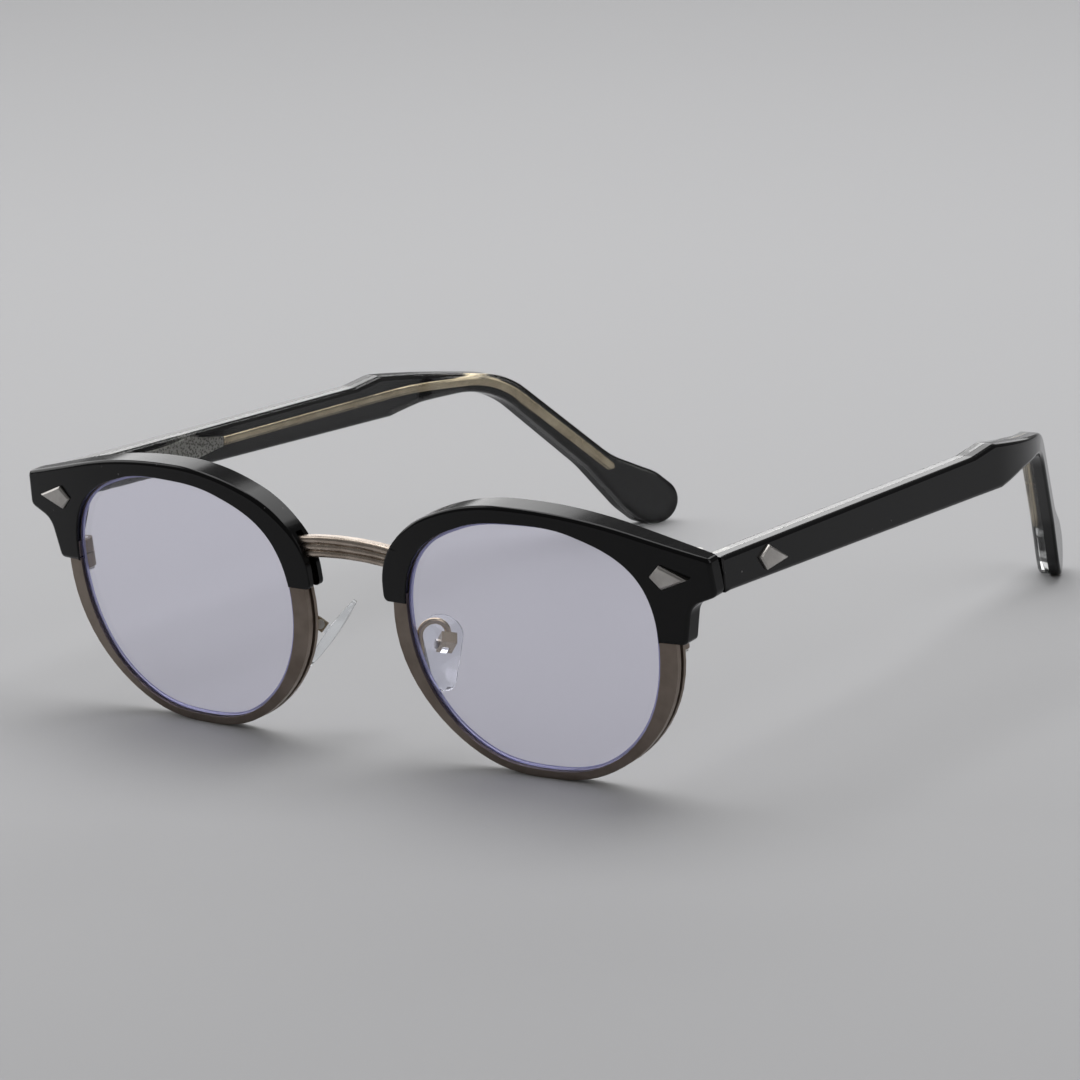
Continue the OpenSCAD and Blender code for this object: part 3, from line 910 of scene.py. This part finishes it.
@dataclass(frozen=True)
class Front:
    """What both halves of the front share.

    A half is drawn flat: x outwards, z up, y backwards. It is turned back by the
    wrap, leant by the tilt and set down so that its hinge meets the model's hinge.

    Attributes:
        origin: where its zero point lies in the world, in metres.
        radii: radius of a lens opening every 30 degrees, from its outer side upwards.
        base_r: radius of the lens curve.
        hinge: x, z and depth of the hinge in a flat half.
    """

    origin: Vector
    eye_w: float = 46.4
    eye_gap: float = 23.8
    radii: tuple[float, ...] = (23.2, 24.5, 21.4, 19.6, 21.0, 23.8,
                                23.2, 22.1, 20.8, 19.6, 20.7, 22.1)
    base_r: float = 200.0
    wrap: float = 2.7
    tilt: float = 3.8
    hinge: Axes = (63.4, 13.5, 6.3)

    @classmethod
    def of_model(cls, frame: dict[str, Any]) -> "Front":
        """The front where the model's left hinge lies.

        Args:
            frame: the loaded model.

        Returns:
            The front.
        """
        joints = frame["record"]["behaviour"]["joints"]
        fold = next(j for j in joints if j["name"] == "temple_left_fold")
        bare = cls(Vector((0.0, 0.0, 0.0)))
        return cls(Vector(fold["pos_m"]) - bare.put(Side.LEFT)(*bare.hinge))

    @property
    def eye_x(self) -> float:
        """Distance from the middle to a lens centre."""
        return (self.eye_gap + self.eye_w) / 2

    def _radius(self, angle: float) -> float:
        """Radius of the lens opening, on a smooth curve.

        Args:
            angle: in degrees, from the outer side upwards.

        Returns:
            The radius.
        """
        count = len(self.radii)
        step, part = divmod(angle * count / 360.0, 1.0)
        a, b, c, d = (self.radii[(int(step) + k) % count] for k in (-1, 0, 1, 2))
        return (b + (c - a) * part / 2 + (2 * a - 5 * b + 4 * c - d) * part ** 2 / 2
                + (3 * b - a - 3 * c + d) * part ** 3 / 2)

    def eye(self, out: float, step: float = 2.5) -> Outline:
        """Outline of the lens opening, moved outwards.

        Args:
            out: distance that it is moved.
            step: angle between its points, in degrees.

        Returns:
            The outline.
        """
        def point(angle: float) -> Vector:
            """Point of the opening at an angle."""
            turn = math.radians(angle)
            return self._radius(angle) * Vector((math.cos(turn), math.sin(turn)))

        points = []
        for k in range(round(360.0 / step)):
            along = (point(k * step + 1.0) - point(k * step - 1.0)).normalized()
            spot = point(k * step) + out * Vector((along.y, -along.x))
            points.append((self.eye_x + spot.x, spot.y))
        return Outline(tuple(points))

    def curve(self, depth: float) -> Callable[[float, float], float]:
        """Depth over a half of a surface that runs with the lens curve."""
        return lambda x, z: depth + sag(self.base_r, math.hypot(x - self.eye_x, z))

    def put(self, side: Side) -> Place:
        """Where a point of a flat half lies in the world.

        Args:
            side: the half.

        Returns:
            Function from x, z and depth to the place in metres.
        """
        turn = Matrix.Rotation(math.radians(self.wrap), 3, "Z")
        lean = Matrix.Rotation(math.radians(self.tilt), 3, "X")

        def placed(x: float, z: float, y: float) -> Vector:
            """Turn, lean and set down one point."""
            spot = turn @ Vector((x, y, z))
            spot.x *= side.sign
            return lean @ spot * MM + self.origin

        return placed


@dataclass(frozen=True)
class Lens:
    """A lens: two curved faces and the tongue that its eyewire's groove holds.

    Attributes:
        fit: clearance to the eyewire.
        bite: how far the tongue reaches into the groove.
        groove: depths at which the groove starts and ends.
    """

    front: Front
    face: float = 0.1
    thick: float = 1.7
    fit: float = 0.04
    bite: float = 0.7
    groove: Point = (0.5, 1.2)
    bevel: float = 0.42
    grid: float = 2.2

    def build(self, shop: Workshop, side: Side) -> None:
        """Build the lens of one side.

        Args:
            shop: puts it in its place.
            side: the side.
        """
        body, tongue = self.front.eye(-self.fit), self.front.eye(self.bite)
        start, stop = self.groove
        depths = (self.face, start + self.fit, stop - self.fit, self.face + self.thick)
        front, groove_front, groove_back, back = map(self.front.curve, depths)
        mesh = Stack(
            (body, tongue),
            (Layer(body.has, (0,), front), Layer(tongue.has, (1,), groove_front),
             Layer(body.has, (0,), groove_back)),
            back, self.front.put(side), lambda x, z, level: float(level in (0, 3)), self.grid,
        ).mesh(side.of("lens_ground"))
        # the rounded edges get the second finish, a painted reflection: a violet line round the
        # lens
        shop.stand_in(side.of("lens"), mesh, ("lens_coat", "lens_edge_painted_reflection"), self.bevel, 2)


@dataclass(frozen=True)
class Brow:
    """An acetate brow: front lip, leg down the nose, and rear flange.

    Attributes:
        face: depth of its front at the lens centre, on a curve of face_r.
        lip: depth over the lens curve at which the lip ends.
        channel: depth over it at which the eyewire's channel ends.
        nose: corners of the place where eyewire and bridge pass the nasal end.
        rear_gap: how far the flange keeps off the lens opening, where the plan is under.
        plate: corners of the hinge leaf's room, from the outer end and the hinge.
        block: corners of the closing block's room, from the lens centre.
        thin: share of the rounding on the rear, by the lens and at the nasal end.
        nasal_rise: heights between which it grows to the full width there.
    """

    front: Front
    top: float = 22.2
    end: float = 69.2
    end_h: float = 5.7
    above: float = 3.1
    face: float = -0.2
    face_r: float = 280.0
    back: float = 4.4
    flange: float = 0.85
    lip: float = 0.15
    channel: float = 1.95
    lip_room: float = 0.3
    channel_room: float = 0.1
    nose: tuple[Point, Point] = ((4.0, 2.0), (16.0, 13.4))
    rear_gap: float = 0.8
    under: tuple[Point, ...] = ((0, -20), (0, 30), (30, 22.3), (43, 17.9), (56.2, 13.4),
                                (59.2, 6.6), (62, -20))
    plate: tuple[Point, Point] = ((-10.9, -2.3), (-3.9, 2.3))
    block: tuple[Point, Point] = ((22.2, 0.0), (26.05, 6.5))
    clear: float = 0.03
    edge: float = 0.55
    thin: float = 0.3
    by_lens: float = 0.3
    nasal: float = 20.0
    nasal_rise: Point = (8.0, 17.0)

    def outline(self) -> Outline:
        """The brow seen from the front, its lower edge lying inside the lens opening.

        Returns:
            The outline.
        """
        eye_x, upper = self.front.eye_x, self.front.hinge[1] + self.above
        return Outline.rounded([
            (7.5, 4.5, 0.9), (7.7, 11.2, 11), (14.4, self.top - 4.3, 20), (26.2, self.top, 40),
            (45.2, self.top, 90), (self.end - 0.5, upper, 0.9), (self.end, upper - self.end_h, 1.2),
            (self.end - 4.6, 9.1, 3), (self.end - 6, 2.9, 0.9), (eye_x + 20, 3.1, 0), (eye_x, 9, 0),
            (eye_x - 20, 4.6, 0),
        ]).fine(1.4)

    def build(self, shop: Workshop, side: Side) -> None:
        """Build the brow of one side.

        Args:
            shop: puts it in its place.
            side: the side.
        """
        form, eye = self.outline(), self.front.eye(self.clear)
        near, wide = self.front.eye(self.by_lens), self.front.eye(self.rear_gap)
        under, nose = Outline(self.under), Outline.box(*self.nose)
        plate = Outline.box(*((self.end + x, self.front.hinge[1] + z) for x, z in self.plate))
        block = Outline.box(*((self.front.eye_x + x, z) for x, z in self.block))
        rear, rear_level = self.back - self.flange, 4
        lip, channel = self.front.curve(self.lip), self.front.curve(self.channel)

        def whole(x: float, z: float) -> bool:
            """Inside the brow and outside the lens opening."""
            return form.has(x, z) and not eye.has(x, z)

        def open_rear(x: float, z: float) -> bool:
            """In a part of the rear flange that is cut away."""
            return (wide.has(x, z) and under.has(x, z)) or plate.has(x, z) or block.has(x, z)

        def rounding(x: float, z: float, level: int) -> float:
            """Share of the rounding's width at the middle of an edge.

            Args:
                x: distance from the middle.
                z: height.
                level: number of the level.

            Returns:
                The share: full on the front, none between front and rear.
            """
            if near.has(x, z) or level == rear_level:
                return self.thin
            if level:
                return 0.0
            low, high = self.nasal_rise
            grown = max(0.0, min(1.0, (z - low) / (high - low)))
            return self.thin + (1.0 - self.thin) * grown if x < self.nasal else 1.0

        mesh = Stack(
            (form, eye, wide, under, nose, plate, block),
            (Layer(whole, (0, 1), lambda x, z: self.face + sag(self.face_r, x - self.front.eye_x)),
             Layer(lambda x, z: whole(x, z) and not nose.has(x, z), (0, 1, 4),
                   lambda x, z: min(lip(x, z), rear - self.lip_room)),
             Layer(whole, (0, 1), lambda x, z: min(channel(x, z), rear - self.channel_room)),
             Layer(lambda x, z: whole(x, z) and not open_rear(x, z), (0, 1, 2, 3, 5, 6),
                   lambda x, z: rear)),
            lambda x, z: self.back, self.front.put(side), rounding,
        ).mesh(side.of("brow_acetate"))
        shop.stand_in(side.of("brow"), mesh, ("black_acetate",), self.edge)


# --- the temples ---


@dataclass(frozen=True)
class Temple:
    """A laminated temple: black outside, clear inside, round the head and down behind the ear.

    It is drawn from its outer face: s along it, v up, depth inwards.

    Attributes:
        run: length of the straight part, before the curve round the head.
        bend: where it bends down behind the ear.
        end: middle of the rounded tip, which lies at height tip_v.
        lean: degrees that it leans inwards, and slope those that it falls.
        seam: gap to the rear of the brow.
        overlap: how far the clear layer reaches into the black one.
        clear_extra: what the clear layer's rounding is wider.
        front_share: share of the rounding at the front end.
    """

    brow: Brow
    run: float = 76.0
    bend: float = 101.0
    end: float = 127.0
    radius: float = 47.0
    curve: float = 22.0
    lean: float = 3.1
    slope: float = 5.8
    seam: float = 0.1
    height: float = 5.4
    knee: float = 7.4
    tip_r: float = 4.1
    tip_v: float = -26.22
    thick: float = 4.0
    black: float = 2.0
    overlap: float = 0.015
    edge: float = 0.6
    clear_extra: float = 0.2
    front_share: float = 0.3

    @property
    def turn(self) -> float:
        """Angle that the curve turns inwards, in radians."""
        return self.curve / self.radius

    def along(self, s: float) -> float:
        """Distance that a length on the temple reaches along its straight line.

        Args:
            s: length along its outer face.

        Returns:
            The distance.
        """
        if s <= self.run:
            return s
        if s <= self.run + self.curve:
            return self.run + self.radius * math.sin((s - self.run) / self.radius)
        return (self.run + self.radius * math.sin(self.turn)
                + (s - self.run - self.curve) * math.cos(self.turn))

    def inward(self, y: float, depth: float) -> float:
        """How far inwards a layer lies.

        Args:
            y: distance along the straight line of the temple.
            depth: depth of the layer under the outer face.

        Returns:
            The distance, growing inwards.
        """
        inner = self.radius - depth
        if y <= self.run:
            return depth
        stop = self.run + inner * math.sin(self.turn)
        if y <= stop:
            return depth + sag(inner, y - self.run)
        return self.radius - inner * math.cos(self.turn) + (y - stop) * math.tan(self.turn)

    def outline(self) -> Outline:
        """The temple seen from the side.

        Returns:
            The outline.
        """
        tip, bend = Vector((self.end, self.tip_v)), Vector((self.bend - 1.5, -1.2))
        down = (tip - bend).normalized()
        across = Vector((-down.y, down.x))

        def at(d: float, n: float, radius: float) -> Corner:
            """Corner placed along and across the drop of the tip."""
            spot = tip + d * down + n * across
            return spot.x, spot.y, radius

        half, r = self.height / 2, self.tip_r
        crest, low = self.run - 0.6, self.knee / 2
        line = Outline.rounded([
            (-3, half, 0), (crest - 6, half - 0.1, 6), (crest, low - 0.3, 3), (crest + 10, 2, 10),
            (self.bend, -0.3, 13), at(-12, 1.6, 15), at(-3.4, r, 7), at(r, r, r - 0.01),
            at(r, -r, r - 0.01), at(-3.4, -r, 12), at(-14, -2.4, 20), (self.bend - 2.9, -2.2, 15),
            (crest + 9, -2.8, 10), (crest + 2, -low - 0.3, 3), (-3, -half, 0),
        ]).fine(1.6)
        return Outline(tuple((self.along(s), v) for s, v in line.points))

    def put(self, side: Side) -> Place:
        """Where a point of the temple lies in the world.

        Args:
            side: the side.

        Returns:
            Function from s, v and depth to the place in metres.
        """
        front = self.brow.front.put(side)
        lean = Matrix.Rotation(math.radians(self.lean - self.brow.front.wrap), 3, "Z")
        slope = Matrix.Rotation(math.radians(-self.slope), 3, "X")
        root = Vector((self.brow.end, self.brow.back + self.seam, self.brow.front.hinge[1]))

        def placed(y: float, v: float, depth: float) -> Vector:
            """Slope, lean and set down one point."""
            spot = slope @ (lean @ Vector((-self.inward(y, depth), y, v))) + root
            return front(spot.x, spot.z, spot.y)

        return placed

    def layer(self, side: Side, name: str, start: float, stop: float,
              outer: int) -> bpy.types.Mesh:
        """Build one layer.

        Args:
            side: the side.
            name: its name.
            start: depth of its outer face.
            stop: depth of its inner face.
            outer: which of its two faces, 0 or 1, has the rounded edge.

        Returns:
            The mesh.
        """
        form, reach, front_end = self.outline(), 9.0, 0.5
        shift = reach * math.tan(math.radians(self.slope))
        ahead = Outline(((-reach, reach), (-shift, reach), (shift, -reach), (-reach, -reach)))

        def rounding(y: float, v: float, level: int) -> float:
            """Share of the rounding's width at the middle of an edge."""
            return (self.front_share if y < front_end else 1.0) if level == outer else 0.0

        return Stack(
            (form, ahead),
            (Layer(lambda y, v: form.has(y, v) and not ahead.has(y, v), (0, 1),
                   lambda y, v: start),),
            lambda y, v: stop, self.put(side), rounding,
        ).mesh(side.of(name))

    def build(self, shop: Workshop, side: Side) -> None:
        """Build both layers of one temple.

        Args:
            shop: puts them in their places.
            side: the side.
        """
        black = self.layer(side, "temple_black", 0.0, self.black, 0)
        shop.stand_in(side.of("temple"), black, ("black_acetate",), self.edge)
        clear = self.layer(side, "temple_clear", self.black - self.overlap, self.thick, 1)
        shop.stand_in(side.of("temple_lining"), clear, ("clear_acetate",),
                      self.edge + self.clear_extra, 4)


# --- the studio ---


@dataclass(frozen=True)
class Lamp:
    """A soft lamp that faces the glasses: place and size in metres, power in watts."""

    name: str
    place: Axes
    size: Point
    power: float

    def make(self) -> None:
        """Make the lamp."""
        data = bpy.data.lights.new(self.name, "AREA")
        data.shape = "RECTANGLE"
        data.size, data.size_y = self.size
        data.energy = self.power
        item = put_in(self.name, data)
        item.location = self.place
        item.rotation_euler = (-Vector(self.place)).to_track_quat("-Z", "Y").to_euler()


@dataclass(frozen=True)
class Studio:
    """Floor, lamps and the camera at the photograph's viewing angle.

    Attributes:
        eye: where the camera stands, in the untilted frame of the front.
        right: direction of the picture's width there.
        down: direction of its height.
        ahead: direction in which the camera looks.
    """

    front: Front
    focal: float = 190.0
    sensor: float = 36.0
    clip: Point = (0.01, 20.0)
    eye: Axes = (563.891, -602.354, 274.860)
    right: Axes = (0.774944, 0.620062, -0.122414)
    down: Axes = (0.101763, -0.313568, -0.944097)
    ahead: Axes = (-0.623784, 0.719165, -0.306097)
    floor_half: float = 6.0
    even_light: float = 0.16
    lamps: tuple[Lamp, ...] = (
        Lamp("top", (-0.1, 0.25, 0.75), (0.9, 0.6), 4.6),
        Lamp("back", (-1.05, 1.25, 0.6), (2.4, 0.7), 9.0),
        Lamp("left", (-0.8, -0.1, 0.45), (0.5, 0.7), 1.6),
        Lamp("right", (0.85, 0.1, 0.5), (0.4, 0.7), 1.4),
    )

    def camera(self) -> None:
        """Make the camera."""
        lean = Matrix.Rotation(math.radians(self.front.tilt), 3, "X")
        place = lean @ Vector(self.eye) * MM + self.front.origin
        right, down, ahead = (lean @ Vector(v) for v in (self.right, self.down, self.ahead))
        data = bpy.data.cameras.new("camera")
        data.lens, data.sensor_width = self.focal, self.sensor
        data.clip_start, data.clip_end = self.clip
        item = put_in("camera", data)
        turn = Matrix((right, -down, -ahead)).transposed()
        item.matrix_world = Matrix.Translation(place) @ turn.to_4x4()
        bpy.context.scene.camera = item

    def floor(self) -> None:
        """Make the plain floor."""
        mesh = bpy.data.meshes.new("floor")
        half = self.floor_half
        corners = [(x * half, y * half, 0.0) for x, y in ((-1, -1), (1, -1), (1, 1), (-1, 1))]
        mesh.from_pydata(corners, [], [(0, 1, 2, 3)])
        mesh.materials.append(FloorPaint().make())
        put_in("floor", mesh)

    def light(self) -> None:
        """Make the lamps and the even light around."""
        for lamp in self.lamps:
            lamp.make()
        world = bpy.data.worlds.new("world")
        world.use_nodes = True
        sky = world.node_tree.nodes["Background"]
        sky.inputs["Color"].default_value = (1.0, 1.0, 1.0, 1.0)
        sky.inputs["Strength"].default_value = self.even_light
        bpy.context.scene.world = world


# --- everything in order ---


BRIDGE = Dress("bridge", "bronze_bridge", 0.1)
PIECES: tuple[Dress, ...] = (
    Dress("eyewire", "bronze_rim", 0.12),
    Dress("closing_block_upper", "bronze_rim", 0.1),
    Dress("closing_block_lower", "bronze_rim", 0.1),
    Dress("closing_screw", "steel", 0.05),
    Dress("front_stud", "rivet_silver", 0.12),
    Dress("hinge_leaf", "steel", 0.08),
    Dress("hinge_screw", "steel", 0.06),
    Dress("core_wire", "pale_gold", 0.48, 0.3),
    Dress("temple_leaf", "etched_steel", 0.08),
    Dress("temple_stud", "rivet_silver", 0.12),
    Dress("pad_arm", "gunmetal", 0.04),
    Dress("pad_box", "gunmetal", 0.14),
    Dress("pad_screw", "steel", 0.05),
    Dress("nose_pad", "pad_plastic", 0.25),
)


def main() -> None:
    """Build everything in order."""
    logging.basicConfig(level=logging.INFO)
    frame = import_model()
    shop = Workshop(frame, Wardrobe())
    front = Front.of_model(frame)
    studio = Studio(front)
    studio.camera()
    brow = Brow(front)
    for side in Side:
        for part in (Lens(front), brow, Temple(brow)):
            part.build(shop, side)
        for look in PIECES:
            shop.dress(side.of(look.piece), look)
    shop.dress(BRIDGE.piece, BRIDGE)
    studio.floor()
    studio.light()
    bpy.context.scene.view_settings.view_transform = "Standard"


if __name__ == "__main__":
    main()
